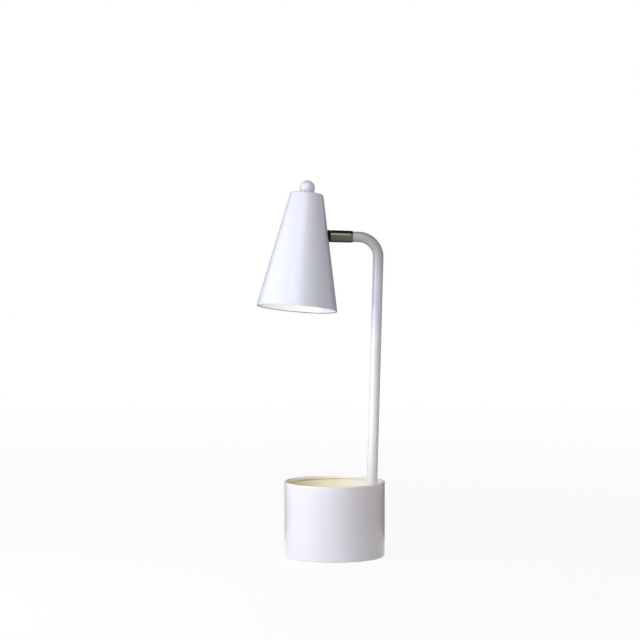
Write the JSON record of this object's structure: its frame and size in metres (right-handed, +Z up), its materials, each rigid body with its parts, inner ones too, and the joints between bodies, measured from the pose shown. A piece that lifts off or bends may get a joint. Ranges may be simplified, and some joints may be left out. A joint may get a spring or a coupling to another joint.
{
  "type": "desk lamp with pen holder",
  "caption": "Desk lamp with a round pen cup as its base, a bent tube arm and a cone shade that turns on a friction swivel.",
  "frame": {"origin": "on the table, on the axis of the pen cup, at the underside of the base pad", "axes": "+Z up along the cup's axis, +X from the cup's axis towards the post, -Y towards the user"},
  "size_m": [0.1529, 0.1222, 0.4491],
  "materials": {
    "pad_felt": "dense charcoal felt",
    "zinc_steel": "zinc-plated steel",
    "weight_iron": "as cast, blackened",
    "white_paint": "satin white enamel",
    "tube_paint": "satin white enamel",
    "black_rubber": "matt black",
    "dark_nickel": "black nickel, polished",
    "bush_nylon": "natural nylon",
    "screw_steel": "darkened steel",
    "holder_phenolic": "moulded phenolic",
    "insert_porcelain": "glazed porcelain",
    "contact_brass": "bright brass",
    "bulb_aluminium": "rolled aluminium",
    "opal_glass": "opal glass",
    "lead_sleeving": "white heat-proof sleeving"
  },
  "bodies": {
    "base": {"base_pad": "pad_felt", "bottom_plate": "zinc_steel", "cover_screw_1": "zinc_steel", "cover_screw_2": "zinc_steel", "cover_screw_3": "zinc_steel", "base_weight": "weight_iron", "cup_shell": "white_paint", "cord_grommet": "black_rubber", "cup_floor": "white_paint", "post_foot": "tube_paint", "foot_washer": "zinc_steel", "foot_nut": "zinc_steel", "arm_tube": "tube_paint", "swivel_sleeve": "dark_nickel", "friction_bush": "bush_nylon", "stop_screw": "screw_steel"},
    "head": {"head_stem": "zinc_steel", "outer_seat": "black_rubber", "inner_seat": "black_rubber", "stem_washer": "zinc_steel", "stem_nut": "zinc_steel", "shade": "white_paint", "finial_ball": "white_paint", "finial_nipple": "zinc_steel", "top_washer": "zinc_steel", "holder_cap": "holder_phenolic", "holder_body": "holder_phenolic", "holder_insert": "insert_porcelain", "screw_shell": "contact_brass", "centre_contact": "contact_brass", "bulb_cap": "bulb_aluminium", "bulb_glass": "opal_glass", "holder_lead": "lead_sleeving"}
  },
  "joints": [
    {"name": "shade_swivel", "type": "hinge", "parent": "base", "child": "head", "pos_m": [-0.00491, 0, 0.3829], "axis": [-0.9997, 0, 0.0262], "range_deg": [-128.4, 111.6]}
  ]
}
